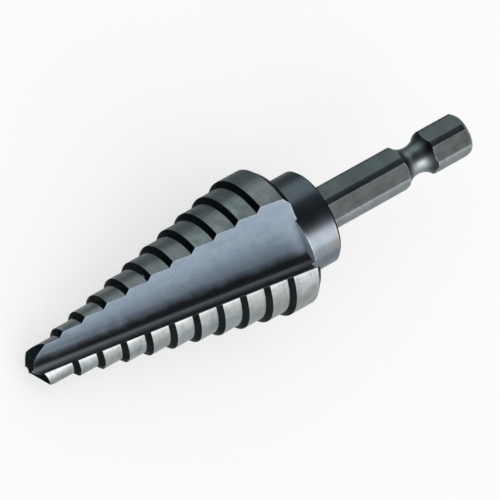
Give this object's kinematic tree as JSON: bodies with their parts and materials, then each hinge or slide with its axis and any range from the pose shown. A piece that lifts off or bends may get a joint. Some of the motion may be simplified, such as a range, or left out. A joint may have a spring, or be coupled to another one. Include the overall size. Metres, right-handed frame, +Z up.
{
  "type": "step drill",
  "caption": "Stepped conical drill for sheet metal with two straight V flutes, a pointed tip, a plain collar and a hexagonal quick-change shank with a ball groove.",
  "frame": {"origin": "on the floor, under the middle of the part's box", "axes": "the drill lies on its side: +X runs from the point towards the shank, +Z is up, and the shank end stands clear of the floor"},
  "size_m": [0.0759, 0.0218, 0.0194],
  "materials": {
    "tool_steel": "ground tool steel with a dark oxide finish"
  },
  "bodies": {
    "root": {"step_drill": "tool_steel"}
  },
  "joints": []
}
